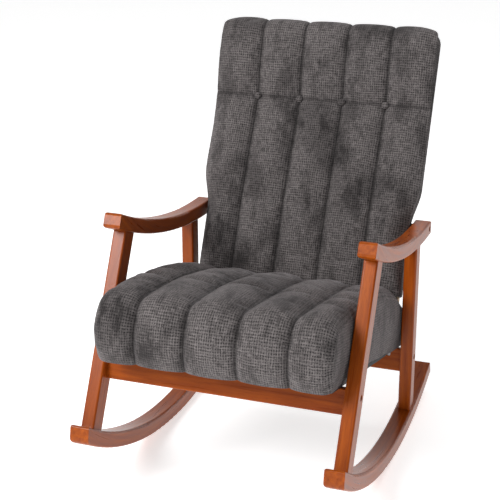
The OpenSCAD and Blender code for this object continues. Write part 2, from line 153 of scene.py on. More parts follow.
def wood_along(n, along, across):
    """Lacquered, cherry-stained timber. along is a socket with the distance along the grain, and across is
    a pair of them for the two ways across it, all in metres."""
    along = n.math("MULTIPLY", along, 0.05)
    fibre = n.add("CombineXYZ", {"X": along, "Y": across[0], "Z": across[1]}).outputs[0]
    wander = n.noise(fibre, 9.0, 2.0)
    wave = {"Vector": fibre, "Scale": 26.0, "Distortion": 7.0, "Detail": 3.0, "Detail Scale": 1.6}
    rings = n.add("TexWave", wave, wave_type="BANDS", bands_direction="DIAGONAL").outputs["Fac"]
    pores = n.noise(fibre, 900.0, 2.0, 0.7)
    streaks = n.noise(fibre, 120.0, 4.0, 0.6)
    figure = n.math("ADD", n.math("MULTIPLY", rings, 0.14), n.math("MULTIPLY", streaks, 0.86))
    colour = n.mix(n.span(figure, 0.28, 0.72), STAIN_MID, STAIN_LIGHT)
    colour = n.mix(n.span(wander, 0.35, 0.75, 0.0, 0.45), colour, STAIN_MID)
    colour = n.mix(n.span(pores, 0.52, 0.70, 0.0, 0.35), colour, STAIN_DARK)
    n.set(Base_Color=colour, Roughness=n.span(streaks, 0.3, 0.7, 0.26, 0.36))
    n.set(Specular_IOR_Level=0.14, Coat_Weight=0.16, Coat_Roughness=0.22)
    n.bump(n.math("ADD", n.math("MULTIPLY", streaks, 0.6), n.math("MULTIPLY", pores, 0.4)), 0.0002, 0.5)
    return n.material


def straight_wood(name, direction):
    """Wood with its grain along a unit vector in the Y-Z plane, or along X."""
    n = Nodes(name)
    x, y, z = n.add("SeparateXYZ", {0: n.place()}).outputs
    if abs(direction[0]) > 0.5:
        return wood_along(n, x, (y, z))
    _, dy, dz = direction
    along = n.math("ADD", n.math("MULTIPLY", y, dy), n.math("MULTIPLY", z, dz))
    over = n.math("SUBTRACT", n.math("MULTIPLY", y, dz), n.math("MULTIPLY", z, dy))
    return wood_along(n, along, (x, over))


def bent_wood(name, centre, radius):
    """Wood whose grain follows an arc about a centre in Y and Z."""
    n = Nodes(name)
    x, y, z = n.add("SeparateXYZ", {0: n.place()}).outputs
    y, z = n.math("SUBTRACT", y, float(centre[0])), n.math("SUBTRACT", z, float(centre[1]))
    out = n.math("SQRT", n.math("ADD", n.math("MULTIPLY", y, y), n.math("MULTIPLY", z, z)))
    angle = n.math("ARCTAN2", y, n.math("MULTIPLY", z, -1.0))
    return wood_along(n, n.math("MULTIPLY", angle, float(radius)), (x, out))


def plain_wood(name, light, dark):
    """Unfinished pine or hardboard inside the chair."""
    n = Nodes(name)
    place = n.stretched(n.place(), (2.0, 40.0, 40.0))
    grain = n.noise(place, 3.0, 5.0, 0.65)
    n.set(Base_Color=n.mix(n.span(grain, 0.35, 0.65), light, dark))
    n.set(Roughness=n.span(grain, 0.3, 0.7, 0.6, 0.8))
    n.bump(grain, 0.0004, 0.5)
    return n.material


CHENILLE_LIGHT = rgb(0.176, 0.158, 0.156)
CHENILLE_MID = rgb(0.050, 0.0445, 0.0445)
CHENILLE_DARK = rgb(0.018, 0.016, 0.016)
# also the colour of the painted shade in the seams and along the tuft line
CHENILLE_PIT_AND_SEAM_SHADE = rgb(0.005, 0.0045, 0.0045)
YARN_ACROSS = 0.0052          # spacing of the pits between yarns, across and along the channels
YARN_ALONG = 0.0060


def chenille():
    """Basket-weave chenille: soft slubbed yarn with small dark pits between the yarns and a brushed nap,
    whose darker patches are partly painted sheen.
    """
    n = Nodes("chenille")
    cloth = n.add("UVMap", uv_map="cloth").outputs[0]
    u, v, _ = n.add("SeparateXYZ", {0: cloth}).outputs
    slub = n.noise(n.stretched(cloth, (340.0, 60.0, 1.0)), 1.0, 2.0, 0.6)
    slub_across = n.noise(n.stretched(cloth, (60.0, 340.0, 1.0)), 1.0, 2.0, 0.6)
    nap = n.noise(n.stretched(cloth, (17.0, 7.0, 1.0)), 1.0, 5.0, 0.7)
    patch = n.noise(n.stretched(cloth, (3.0, 4.2, 1.0)), 1.0, 2.0, 0.5)
    wobble = n.noise(n.stretched(cloth, (30.0, 30.0, 1.0)), 1.0, 2.0)
    warp = n.math("SINE", n.math("ADD", n.math("MULTIPLY", u, 2 * math.pi / YARN_ACROSS),
                                 n.math("MULTIPLY", wobble, 5.0)))
    weft = n.math("SINE", n.math("ADD", n.math("MULTIPLY", v, 2 * math.pi / YARN_ALONG),
                                 n.math("MULTIPLY", wobble, -4.0)))
    pit = n.math("MULTIPLY", n.span(warp, 0.2, 0.9), n.span(weft, 0.05, 0.85))
    worn = n.span(n.noise(n.stretched(cloth, (75.0, 75.0, 1.0)), 1.0, 2.0), 0.34, 0.50)
    pit = n.math("MULTIPLY", pit, worn)
    ribs = n.math("ADD", n.math("MULTIPLY", n.span(warp, -1.0, 1.0), 0.5),
                  n.math("MULTIPLY", n.span(weft, -1.0, 1.0), 0.5))
    fuzz = n.noise(n.stretched(cloth, (330.0, 330.0, 1.0)), 1.0, 3.0, 0.75)
    yarn = n.math("ADD", n.math("MULTIPLY", slub, 0.5), n.math("MULTIPLY", slub_across, 0.5))
    tone = n.math("ADD", n.math("MULTIPLY", yarn, 0.6), n.math("MULTIPLY", fuzz, 0.4))
    tone = n.math("SUBTRACT", tone, n.math("MULTIPLY", ribs, 0.10))
    colour = n.mix(n.span(tone, 0.37, 0.53), CHENILLE_MID, CHENILLE_LIGHT)
    # darker patches of the nap: partly the pile's own mottling, partly its sheen painted in as shade
    brushed = n.math("ADD", n.span(nap, 0.49, 0.59, 0.0, 0.46), n.span(patch, 0.50, 0.57, 0.0, 0.36))
    colour = n.mix(brushed, colour, CHENILLE_DARK)
    colour = n.mix(pit, colour, CHENILLE_PIT_AND_SEAM_SHADE)
    # painted shade: the seams' grooves and the tuft line are darkened towards the pit colour, where shade
    # falls between the lobes
    painted_seam_shade = n.add("Attribute", attribute_name="painted_seam_shade").outputs["Fac"]
    colour = n.mix(n.math("MULTIPLY", painted_seam_shade, 0.75), colour, CHENILLE_PIT_AND_SEAM_SHADE)
    n.set(Base_Color=colour, Roughness=n.span(brushed, 0.0, 0.8, 0.85, 0.95))
    n.set(Specular_IOR_Level=0.15, Sheen_Weight=0.22, Sheen_Roughness=0.4, Sheen_Tint=rgb(0.78, 0.74, 0.76))
    height = n.math("SUBTRACT", n.math("MULTIPLY", tone, 0.8), pit)
    n.bump(height, 0.0010, 0.7)
    return n.material


def lining():
    """Thin black spun-bonded lining."""
    n = Nodes("lining")
    place = n.place()
    fibre = n.noise(place, 700.0, 3.0, 0.7)
    crumple = n.noise(place, 22.0, 3.0)
    n.set(Base_Color=n.mix(n.span(fibre, 0.4, 0.65), rgb(0.007, 0.007, 0.008), rgb(0.025, 0.025, 0.027)),
          Roughness=n.span(fibre, 0.3, 0.7, 0.6, 0.85))
    n.bump(n.math("ADD", n.math("MULTIPLY", crumple, 1.0), n.math("MULTIPLY", fibre, 0.1)), 0.003, 0.5)
    return n.material


def foam():
    n = Nodes("foam")
    cells = n.add("TexVoronoi", {"Vector": n.place(), "Scale": 700.0}).outputs["Distance"]
    n.set(Base_Color=n.mix(n.span(cells, 0.0, 0.7), rgb(0.5, 0.44, 0.27), rgb(0.83, 0.78, 0.58)),
          Roughness=n.span(cells, 0.0, 1.0, 0.8, 0.95))
    n.bump(cells, 0.0006, 0.6)
    return n.material


def webbing():
    n = Nodes("webbing")
    place = n.stretched(n.place(), (420.0, 420.0, 420.0))
    weave = n.add("TexChecker", {"Vector": place, "Scale": 1.0}).outputs["Fac"]
    wear = n.noise(place, 0.4)
    n.set(Base_Color=n.mix(n.math("MULTIPLY", weave, wear), rgb(0.02, 0.02, 0.022), rgb(0.11, 0.11, 0.115)),
          Roughness=n.span(wear, 0.3, 0.7, 0.65, 0.8))
    n.bump(weave, 0.0004, 0.5)
    return n.material


def zinc_steel():
    n = Nodes("zinc_steel")
    brushed = n.noise(n.stretched(n.place(), (60.0, 900.0, 900.0)), 1.0, 2.0)
    stain = n.noise(n.place(), 60.0, 3.0)
    n.set(Base_Color=n.mix(n.span(stain, 0.35, 0.7), rgb(0.62, 0.62, 0.64), rgb(0.42, 0.42, 0.44)),
          Roughness=n.span(brushed, 0.3, 0.7, 0.28, 0.45), Metallic=1.0)
    n.bump(brushed, 0.0001, 0.3)
    return n.material


def black_plastic():
    n = Nodes("black_plastic")
    grain = n.noise(n.place(), 1500.0, 2.0)
    n.set(Base_Color=n.mix(grain, rgb(0.010, 0.010, 0.011), rgb(0.022, 0.022, 0.024)),
          Roughness=n.span(grain, 0.3, 0.7, 0.45, 0.6))
    n.bump(grain, 0.0002, 0.4)
    return n.material


def backdrop(name, strength):
    n = Nodes(name)
    tone = n.noise(n.place(), 0.6, 2.0)
    n.set(Base_Color=n.mix(tone, rgb(0.86, 0.86, 0.86), rgb(0.90, 0.90, 0.90)), Roughness=0.6,
          Specular_IOR_Level=0.2, Emission_Color=rgb(1, 1, 1), Emission_Strength=strength)
    return n.material


def points_of(node):
    mesh = frame["nodes"][node].data
    co = np.empty(len(mesh.vertices) * 3)
    mesh.vertices.foreach_get("co", co)
    return co.reshape(-1, 3)


def long_axis(node):
    """Unit vector along a straight member."""
    p = points_of(node)
    return np.linalg.svd(p - p.mean(0), full_matrices=False)[2][0]


def arc_of(node):
    """Centre in Y and Z, and radius, of a bent member, by least squares."""
    y, z = points_of(node)[:, 1], points_of(node)[:, 2]
    a, b, c = np.linalg.lstsq(np.stack([2 * y, 2 * z, np.ones_like(y)], 1), y * y + z * z, rcond=None)[0]
    return (a, b), math.sqrt(c + a * a + b * b)


def paint(node, material):
    mesh = frame["nodes"][node].data
    mesh.materials.clear()
    mesh.materials.append(material)
    mesh.polygons.foreach_set("material_index", np.zeros(len(mesh.polygons), np.int32))


def paint_frame():
    slots = {s["node"]: s["material_slot"] for s in frame["record"]["subparts"]}
    shared = {
        "bare_wood": plain_wood("bare_wood", rgb(0.62, 0.45, 0.26), rgb(0.45, 0.29, 0.14)),
        "zinc_steel": zinc_steel(), "webbing": webbing(), "foam": foam(), "lining": lining(),
        "black_plastic": black_plastic(), "chenille": fabric,
    }
    for node in frame["nodes"]:
        if slots[node] != "stained_wood":
            paint(node, shared[slots[node]])
        elif "rocker" in node or "armrest" in node:
            paint(node, bent_wood("wood_" + node, *arc_of(node)))
        else:
            paint(node, straight_wood("wood_" + node, long_axis(node)))
    return shared


# ---- spaces of the seat and the back ----

def face_normal(node):
    """Unit normal, in Y and Z, of a flat node's largest face."""
    face = max(frame["nodes"][node].data.polygons, key=lambda f: f.area)
    normal = np.array([face.normal.y, face.normal.z])
    return normal / np.linalg.norm(normal)


class Space:
    """A tilted plane through the chair: p runs along it and q square to it, in metres."""

    def __init__(self, along, out, origin):
        self.along, self.out, self.origin = along, out, origin

    def put(self, x, p, q):
        yz = self.origin + np.multiply.outer(p, self.along) + np.multiply.outer(q, self.out)
        return np.stack([x, yz[..., 0], yz[..., 1]], -1)


def lowest(node, axis):
    return (points_of(node)[:, 1:] @ axis).min()


DUST_FRONT = -75 * MM         # the dust cover's front edge, along the seat from its datum
REAR_BOARD = 76 * MM          # the rear board's front face, behind the back's datum
BACK_BOTTOM = -160 * MM       # the back's lower end, below its datum


def seat_plane():
    up = face_normal("seat_dust_cover")
    up = up * np.sign(up[1])
    back = np.array([up[1], -up[0]])
    origin = back * (lowest("seat_dust_cover", back) - DUST_FRONT) + up * lowest("seat_dust_cover", up)
    return Space(back, up, origin)


def back_plane():
    behind = face_normal("back_rear_board")
    behind = behind * np.sign(behind[0])
    up = np.array([-behind[1], behind[0]])
    origin = behind * (lowest("back_rear_board", behind) - REAR_BOARD) \
        + up * (lowest("back_cover", up) - BACK_BOTTOM)
    return Space(behind, up, origin)


# ---- cushions ----

def smooth_line(points, steps=24):
    """A smooth line through points, with its length so far at each of its own points."""
    p = np.array(points, float) * MM
    p = np.vstack([2 * p[0] - p[1], p, 2 * p[-1] - p[-2]])
    line = []
    for a, b, c, d in zip(p, p[1:], p[2:], p[3:]):
        t = np.linspace(0, 1, steps, endpoint=False)[:, None]
        line.append(0.5 * (2 * b + (c - a) * t + (2 * a - 5 * b + 4 * c - d) * t**2
                           + (3 * b - a - 3 * c + d) * t**3))
    line = np.vstack(line + [p[-2][None]])
    return line, np.concatenate([[0], np.cumsum(np.linalg.norm(np.diff(line, axis=0), axis=1))])


def at_length(line, length, where):
    return np.stack([np.interp(where, length, line[:, 0]), np.interp(where, length, line[:, 1])], -1)


def lobe(q):
    """Height of a stuffed channel across its width, from 0 at its seams to 1 in the middle."""
    return (1 - np.abs(q) ** 2.3) * 0.86 + 0.14 * np.sqrt(np.clip(1 - q * q, 0, 1))


def bell(x, width):
    return np.exp(-(x / width) ** 2)


CHANNELS = 5
CELLS = 14                    # mesh cells across a channel
CHANNEL_HALF = 55 * MM        # of a usual channel, for the width of what lies along its seams
STITCH_WIDTH = 4 * MM
STITCH_DEPTH = 3.5 * MM
LAST_STEP = 10 * MM           # of the cloth's own coordinates, where the ring closes
SIDE_HOLD = 0.94              # how firmly the simulation holds the side panels
PRESSURE = 4.0
FULLNESS = 0.02               # how much larger the fabric is than what it covers


def stations():
    """(channel number, place in it from -1 to 1) of every mesh line that runs along the channels."""
    t = np.linspace(-1, 1, CELLS + 1)
    q = 0.55 * np.sin(t * math.pi / 2) + 0.45 * t
    pairs = [(c, q[i]) for c in range(CHANNELS) for i in range(CELLS)]
    return np.array(pairs + [(CHANNELS - 1, 1.0)]).T


def across(seams, half, channel, q):
    """X of each station, where the seams lie at +-seams[0] and +-seams[1] and the sides at +-half."""
    edges = np.stack([-half, -seams[1], -seams[0], seams[0], seams[1], half])
    c = channel.astype(int)
    left, right = edges[c], edges[c + 1]
    return left + (q[:, None] + 1) / 2 * (right - left)


class Cushion:
    """A closed quad mesh wrapped round a box. Its ring runs up the front, back over the top, down the rear
    and forward underneath; its stations run across; its two sides are filled in between."""

    def __init__(self, name, space, over, up, boxed):
        self.name, self.space, self.over, self.up, self.boxed = name, space, over, up, boxed
        self.ring = 2 * (over + up)
        self.channel, self.q = stations()       # of each line of the mesh that runs along the channels

    def lay_out(self, points, corner, rear):
        """Spreads the ring over a side outline, where corner and rear are its front and rear top corners.
        top is then the length along the outline, and -1 underneath."""
        line, length = smooth_line(points)
        self.corner, self.rear = [length[np.argmin(np.linalg.norm(line - np.array(point) * MM, axis=1))]
                                  for point in (corner, rear)]
        steps = np.concatenate([np.linspace(0, self.corner, self.up + 1),
                                np.linspace(self.corner, self.rear, self.over + 1)[1:],
                                np.linspace(self.rear, length[-1], self.up + 1)[1:]])
        open_ring = at_length(line, length, steps)
        under = np.linspace(open_ring[-1], open_ring[0], self.over + 1)[1:-1]
        self.outline = np.vstack([open_ring, under])
        self.normal = np.vstack([ring_normals(open_ring), np.zeros_like(under)])
        self.top = np.concatenate([steps, np.full(len(under), -1.0)])

    def channel_places(self):
        """Per station: its place across the channel, whether it lies in the free half of an outer channel,
        its distance from the channel's nearer edge, and how close it is to a stitched seam, from 0 to 1."""
        q = self.q[:, None]
        number = self.channel[:, None]
        outer = (number == 0) * (q < 0) | (number == CHANNELS - 1) * (q > 0)
        from_seam = (1 - np.abs(q)) * CHANNEL_HALF
        return q, outer, from_seam, np.where(outer, 0.0, bell(from_seam, STITCH_WIDTH))

    def wrap(self, x, lift):
        """The lifted surface: its places along and square to the cushion's plane, and its cloth's UVs."""
        along = self.close_under(self.outline[:, 0] + self.normal[:, 0] * lift)
        out = self.close_under(self.outline[:, 1] + self.normal[:, 1] * lift)
        steps = np.linalg.norm(np.diff(self.outline, axis=0), axis=1)
        run = np.concatenate([[0], np.cumsum(steps)])
        run = np.append(run, run[-1] + LAST_STEP)
        uv = np.stack([np.vstack([x.T, x.T[:1]]), np.repeat(run[:, None], len(self.q), 1)], -1)
        return along, out, uv

    def pins(self, side, held_row, hold):
        """How firmly the simulation holds each point: the seams, the rear, the underside and the foot of
        the front fully, the sides' edges by side, and one row across by hold."""
        pin = np.zeros((self.ring, len(self.q)))
        pin[:, np.abs(self.q) > 0.999] = 1.0
        pin[:, [0, -1]] = side
        pin[self.up + self.over:] = 1.0
        pin[:2] = 1.0
        pin[held_row] = np.maximum(pin[held_row], hold)
        return pin

    def close_under(self, values):
        """Carries the ring's values straight across underneath, from the rear's foot to the front's."""
        last = 2 * self.up + self.over
        way = np.arange(1, self.over) / self.over
        values[:, last + 1:] = values[:, last:last + 1] * (1 - way) + values[:, :1] * way
        return values

    def side_points(self, edge, bulge):
        """Interior points of one side, between the ring's points at that side."""
        up, over = self.up, self.over
        a = np.arange(over + 1) / over
        t = np.arange(up + 1) / up
        front, top = edge[:up + 1], edge[up:up + over + 1]
        rear = edge[up + over:2 * up + over + 1][::-1]
        bottom = np.vstack([edge[2 * up + over:], edge[:1]])[::-1]
        a3, t3 = a[:, None, None], t[None, :, None]
        grid = (1 - t3) * bottom[:, None] + t3 * top[:, None] + (1 - a3) * front[None] + a3 * rear[None]
        grid -= ((1 - a3) * (1 - t3) * front[0] + a3 * (1 - t3) * rear[0]
                 + (1 - a3) * t3 * front[-1] + a3 * t3 * rear[-1])
        grid[..., 0] += bulge(a[:, None], t[None, :]) * np.sign(edge[0, 0])
        return grid

    def build(self, wrap, wrap_uv, bulge, pin, painted_seam_shade, material):
        ring, count = self.ring, len(self.q)
        points = [wrap.reshape(-1, 3)]
        total = ring * count
        lattice = {}
        for side, k in ((-1, 0), (1, count - 1)):
            grid = self.side_points(wrap[:, k], bulge)
            table = np.full((self.over + 1, self.up + 1), -1)
            for r in range(ring):
                table[self.cell_of(r)] = r * count + k
            for i in range(1, self.over):
                for j in range(1, self.up):
                    table[i, j] = total
                    points.append(grid[i, j][None])
                    total += 1
            lattice[side] = table, grid
        faces = []
        uv = []
        for r in range(ring):
            s = (r + 1) % ring
            for k in range(count - 1):
                faces.append((r * count + k, r * count + k + 1, s * count + k + 1, s * count + k))
                uv += [wrap_uv[r, k], wrap_uv[r, k + 1], wrap_uv[r + 1, k + 1], wrap_uv[r + 1, k]]
        for side, (table, grid) in lattice.items():
            flat = np.stack([(grid[..., 1:] - self.space.origin) @ self.space.along,
                             (grid[..., 1:] - self.space.origin) @ self.space.out], -1)
            for i in range(self.over):
                for j in range(self.up):
                    loop = [(i, j), (i, j + 1), (i + 1, j + 1), (i + 1, j)][::side]
                    faces.append(tuple(int(table[c]) for c in loop))
                    uv += [flat[c] for c in loop]
        mesh = bpy.data.meshes.new(self.name)
        mesh.from_pydata(np.vstack(points).tolist(), [], faces)
        layer = mesh.uv_layers.new(name="cloth")
        layer.data.foreach_set("uv", np.array(uv, np.float32).ravel())
        # the painted seam shade of each point, read by the fabric's colour
        attribute = mesh.attributes.new("painted_seam_shade", "FLOAT", "POINT")
        values = np.zeros(total, np.float32)
        values[:ring * count] = painted_seam_shade.ravel()
        attribute.data.foreach_set("value", values)
        mesh.polygons.foreach_set("use_smooth", np.ones(len(mesh.polygons), bool))
        if self.boxed:
            for edge in mesh.edges:
                a, b = edge.vertices
                if max(a, b) < ring * count and a % count == b % count and a % count in (0, count - 1):
                    edge.use_edge_sharp = True
        mesh.materials.append(material)
        piece = bpy.data.objects.new(self.name, mesh)
        bpy.context.scene.collection.objects.link(piece)
        held = piece.vertex_groups.new(name="held")
        weights = np.zeros(total)
        weights[:ring * count] = pin.ravel()
        weights[ring * count:] = SIDE_HOLD
        for value in np.unique(weights[weights > 0]):
            held.add([int(i) for i in np.flatnonzero(weights == value)], float(value), "REPLACE")
        check_outward(mesh)
        return piece

    def cell_of(self, r):
        """(cells back, cells up) of a ring number."""
        up, over = self.up, self.over
        if r <= up:
            return 0, r
        if r <= up + over:
            return r - up, up
        if r <= 2 * up + over:
            return over, 2 * up + over - r
        return 2 * (up + over) - r, 0


def check_outward(mesh):
    """Turns a closed mesh's faces outward."""
    bm = bmesh.new()
    bm.from_mesh(mesh)
    bmesh.ops.recalc_face_normals(bm, faces=bm.faces)
    if bm.calc_volume(signed=True) < 0:
        bmesh.ops.reverse_faces(bm, faces=bm.faces)
    bm.to_mesh(mesh)
    bm.free()


def ring_normals(outline):
    """Outward unit normals along a closed or open line of points, by the neighbours on both sides."""
    step = np.gradient(outline, axis=0)
    step /= np.linalg.norm(step, axis=1)[:, None] + 1e-12
    return np.stack([-step[:, 1], step[:, 0]], -1)


LAST_FRAME = 20


def puff(piece, most):
    """Cloth simulation of the stuffing: the fabric swells between its held seams, by no more than most."""
    before = np.empty(len(piece.data.vertices) * 3)
    piece.data.vertices.foreach_get("co", before)
    before = before.reshape(-1, 3)
    cloth = piece.modifiers.new("cloth", "CLOTH")
    s = cloth.settings
    s.quality = 7
    s.mass = 0.25
    s.tension_stiffness = s.compression_stiffness = 18
    s.shear_stiffness = 6
    s.bending_stiffness = 0.35
    s.air_damping = 2.0
    s.use_pressure = True
    s.uniform_pressure_force = PRESSURE
    s.shrink_min = -FULLNESS
    s.effector_weights.gravity = 0
    s.vertex_group_mass = "held"
    s.pin_stiffness = 1.0
    cloth.collision_settings.use_collision = False
    scene = bpy.context.scene
    scene.frame_start = cloth.point_cache.frame_start = 1
    scene.frame_end = cloth.point_cache.frame_end = LAST_FRAME
    for frame_number in range(1, LAST_FRAME + 1):
        scene.frame_set(frame_number)
    graph = bpy.context.evaluated_depsgraph_get()
    after = np.empty(len(before) * 3)
    piece.evaluated_get(graph).data.vertices.foreach_get("co", after)
    piece.modifiers.remove(cloth)
    move = after.reshape(-1, 3) - before
    size = np.linalg.norm(move, axis=1)[:, None]
    move *= np.minimum(1, most / np.maximum(size, 1e-9))
    piece.data.vertices.foreach_set("co", (before + move).ravel())
    piece.data.update()
    scene.frame_set(1)


def finish_soft(piece, fill, *nodes):
    finer = piece.modifiers.new("finer", "SUBSURF")
    finer.levels = finer.render_levels = 1
    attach(piece, "root")
    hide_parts(*nodes)


# Side outline of the seat along its seams: up the front, over the top and down the rear (mm)
SEAT_LINE = [(-86, 0), (-97, 19), (-105, 34), (-112, 62), (-113, 79), (-110, 95), (-104, 113), (-93, 131),
             (-73, 143), (-40, 149), (30, 156), (107, 162), (223, 165), (327, 159), (445, 141), (500, 124),
             (538, 108), (560, 88), (563, 50), (563, 0)]
SEAT_HALF = 266 * MM
SEAT_TUFT = 108 * MM          # the sewn line across the seat, along the seat from its datum
SEAT_DEEP = 150 * MM          # the height over which the half width changes
SEAT_ROLL = 13 * MM           # how far the outer channels fall away at the sides
# Place along the seat, and the two inner and outer seams' distances from the middle there (mm)
SEAT_SEAMS = [(-120, 58, 171), (-60, 60, 174), (108, 67, 182), (330, 60, 173), (560, 56, 168)]
# Length along the outline, and how far the channels stand out there (mm)
SEAT_CREST = [(-1, 0), (0, 6), (40, 10), (110, 13), (190, 14), (330, 15), (420, 15), (560, 17), (700, 15),
              (770, 9), (830, 0)]
# Place along the seat, and how high the side's lower edge is lifted there (mm)
SEAT_SCALLOP = [(-60, 0), (20, 9), (120, 11), (380, 9), (440, 1)]
SEAT_FULLNESS = (1.0, 0.86, 1.05, 0.94, 1.0)    # of the channels, from left to right


def seat_cushion(space, material):
    c = Cushion("seat_cushion", space, over=78, up=18, boxed=False)
    c.lay_out(SEAT_LINE, corner=(-104, 113), rear=(560, 88))
    s, n = c.outline.T
    knots = np.array(SEAT_SEAMS) * MM
    seams = [np.interp(s, knots[:, 0], knots[:, i]) for i in (1, 2)]
    # half width: fuller in front of the legs, drawn in along the lower edge
    height = np.clip(n / SEAT_DEEP, 0, 1)
    bulge = bell(s + 115 * MM, 45 * MM) * np.sin(np.pi * np.clip(height, 0.05, 0.95))
    half = SEAT_HALF + 2 * MM * (s > 10 * MM) + 2 * MM * bulge
    half = half - 3 * MM * (1 - np.clip(height / 0.3, 0, 1)) ** 2
    x = across(seams, half, c.channel, c.q)
    # stuffing: how far the channels stand out along the ring
    lengths, heights = np.array(SEAT_CREST).T * MM
    crest = np.interp(c.top, lengths, heights)
    tuft = bell(s - SEAT_TUFT, 16 * MM) * (c.top > c.corner) * (s < 400 * MM)
    crest = crest * (1 - 0.5 * tuft)
    q, outer, from_seam, stitched = c.channel_places()
    shape = np.where(outer, 1 - 0.8 * np.abs(q) ** 2.6, lobe(q))
    roll = np.where(outer, SEAT_ROLL * np.clip(1 - from_seam / (24 * MM), 0, 1) ** 2.2, 0)
    sunk = np.clip(crest / (9 * MM), 0, 1)
    uneven = np.array(SEAT_FULLNESS)[c.channel.astype(int)][:, None]
    lift = crest * shape * uneven - STITCH_DEPTH * stitched * sunk - roll * sunk
    lift = lift - 3 * MM * tuft * (0.5 + 0.9 * stitched) * (crest > 0)
    along, out, uv = c.wrap(x, lift)
    # the side's lower edge is scalloped above the lining
    scallop = np.interp(s, *(np.array(SEAT_SCALLOP).T * MM))
    scallop = scallop + 2.2 * MM * np.sin(s / (31 * MM)) * (scallop > 5 * MM)
    edge = np.clip((np.abs(x) - 225 * MM) / (35 * MM), 0, 1)
    out = out + edge * scallop * (n < 12 * MM)
    row = np.argmin(np.abs(np.where((c.top > c.corner) & (s < 400 * MM), s, 9) - SEAT_TUFT))
    # painted shade along the stitched seams and the tuft line, for the fabric's colour
    painted_seam_shade = np.maximum(stitched * np.ones((1, c.ring)), 0.35 * tuft[None]).T * (crest[:, None] > 0)
    painted_seam_shade[:, [0, -1]] = 0.0
    piece = c.build(space.put(x, along, out).transpose(1, 0, 2), uv,
                    lambda a, t: 5 * MM * np.sin(np.pi * t) * np.sin(np.pi * a) ** 0.4,
                    c.pins(0.9, row, 0.97), painted_seam_shade, material)
    puff(piece, 14 * MM)
    finish_soft(piece, 0.8, "seat_cover", "seat_foam", "seat_front_roll")


# Side outline of the back along its seams, as (depth, height) in mm, in the seat outline's order
BACK_LINE = [(-2, -160), (0, -80), (0, 0), (3, 46), (6, 94), (9, 140), (14, 187), (19, 235), (21, 281),
             (19, 325), (8, 366), (1, 407), (0, 452), (6, 482), (24, 499), (44, 503), (62, 502), (74, 496),
             (79, 484), (80, 440), (80, 300), (80, 0), (80, -160)]
# Length along the outline, and how far the channels stand out there (mm)
BACK_CREST = [(0, 5), (60, 12), (400, 13), (600, 12), (640, 11), (690, 9), (730, 5), (760, 0)]
# Height up the back, and the depth of the side panels' front seam there (mm)
SIDE_SEAM = [(-160, 36), (0, 40), (45, 34), (90, 31), (136, 31), (181, 37), (226, 41), (271, 38), (316, 29),
             (362, 18), (407, 10), (452, 12), (500, 24)]
BUTTON_ROW = 307 * MM
BACK_SEAMS = (56 * MM, 167.5 * MM)
BACK_CORNER = 20 * MM
BACK_TOP = 503 * MM
HEAD_HALF = 281 * MM
WAIST_HALF = 264 * MM


def back_half(height):
    """Half width of the back at a height: narrow between the arms, wider above, with rounded shoulders."""
    t = np.clip((height - 15 * MM) / (95 * MM), 0, 1)
    half = WAIST_HALF + (HEAD_HALF - WAIST_HALF) * t * t * (3 - 2 * t)
    rise = np.clip(height - (BACK_TOP - BACK_CORNER), 0, BACK_CORNER)
    return half - BACK_CORNER + np.sqrt(np.clip(BACK_CORNER ** 2 - rise ** 2, 0, None))


def back_cushion(space, material):
    c = Cushion("back_cushion", space, over=14, up=84, boxed=True)
    c.lay_out(BACK_LINE, corner=(6, 482), rear=(79, 484))
    depth, height = c.outline.T
    face = c.top >= 0
    before = c.top < c.corner
    front = face & (c.top <= c.rear)
    rearward = np.clip((depth - 45 * MM) / (33 * MM), 0, 1)
    half = back_half(height) - 5 * MM * rearward ** 2
    seams = [np.minimum(BACK_SEAMS[0], half), np.minimum(BACK_SEAMS[1], half - 30 * MM)]
    x = across(seams, half, c.channel, c.q)
    q, outer, _, stitched = c.channel_places()
    lengths, heights = np.array(BACK_CREST).T * MM
    crest = np.interp(c.top, lengths, heights) * front
    row = bell(height - BUTTON_ROW, 26 * MM) * before
    seam_row = bell(height - BUTTON_ROW, 4.5 * MM) * before
    shape = np.where(outer, 1 - 0.75 * np.abs(q) ** 2.4, lobe(q))
    crown = np.clip((c.top - 590 * MM) / (50 * MM), 0, 1) * front
    shape = shape + 0.6 * crown * (1 - shape)
    # the face falls back to the side panels' front seams
    heights, depths = np.array(SIDE_SEAM).T * MM
    face_depth = np.interp(height, c.outline[:c.up + 1, 1], c.outline[:c.up + 1, 0])
    fall = np.clip(np.interp(height, heights, depths) - face_depth, 0, None) * (c.top <= c.corner) * face
    fall = np.where((c.top > c.corner) & front, 6 * MM, fall)
    roll = np.where(outer, np.abs(q) ** 2.4 * 0.8 * fall, 0)
    lift = crest * (1 - 0.55 * row) * shape - STITCH_DEPTH * stitched * front
    lift = lift - 4 * MM * seam_row * front - roll
    # the buttons pull the face in around them
    off_seam = np.abs(np.abs(x) - np.array(BACK_SEAMS)[:, None, None]).min(0)
    dimple = bell(np.hypot(off_seam, height - BUTTON_ROW), 17 * MM) * before * face
    lift = lift - 5 * MM * dimple
    along, out, uv = c.wrap(x, lift)
    pin = c.pins(1.0, np.argmin(np.abs(height[:c.up] - BUTTON_ROW)), 0.97)
    pin = np.maximum(pin, (dimple.T > 0.6) * 0.98)
    # painted shade along the stitched seams and the seam at the button row, for the fabric's colour
    painted_seam_shade = np.maximum(stitched * np.ones((1, c.ring)), 0.65 * seam_row[None]).T * front[:, None]
    painted_seam_shade[:, [0, -1]] = 0.0
    piece = c.build(space.put(x, along, out).transpose(1, 0, 2), uv,
                    lambda a, t: 2 * MM * np.sin(np.pi * t) ** 0.3 * np.sin(np.pi * a),
                    pin, painted_seam_shade, material)
    puff(piece, 12 * MM)
    finish_soft(piece, 0.75, "back_cover", "back_foam", "back_rear_cover", "back_rear_board")


# ---- lining and buttons ----

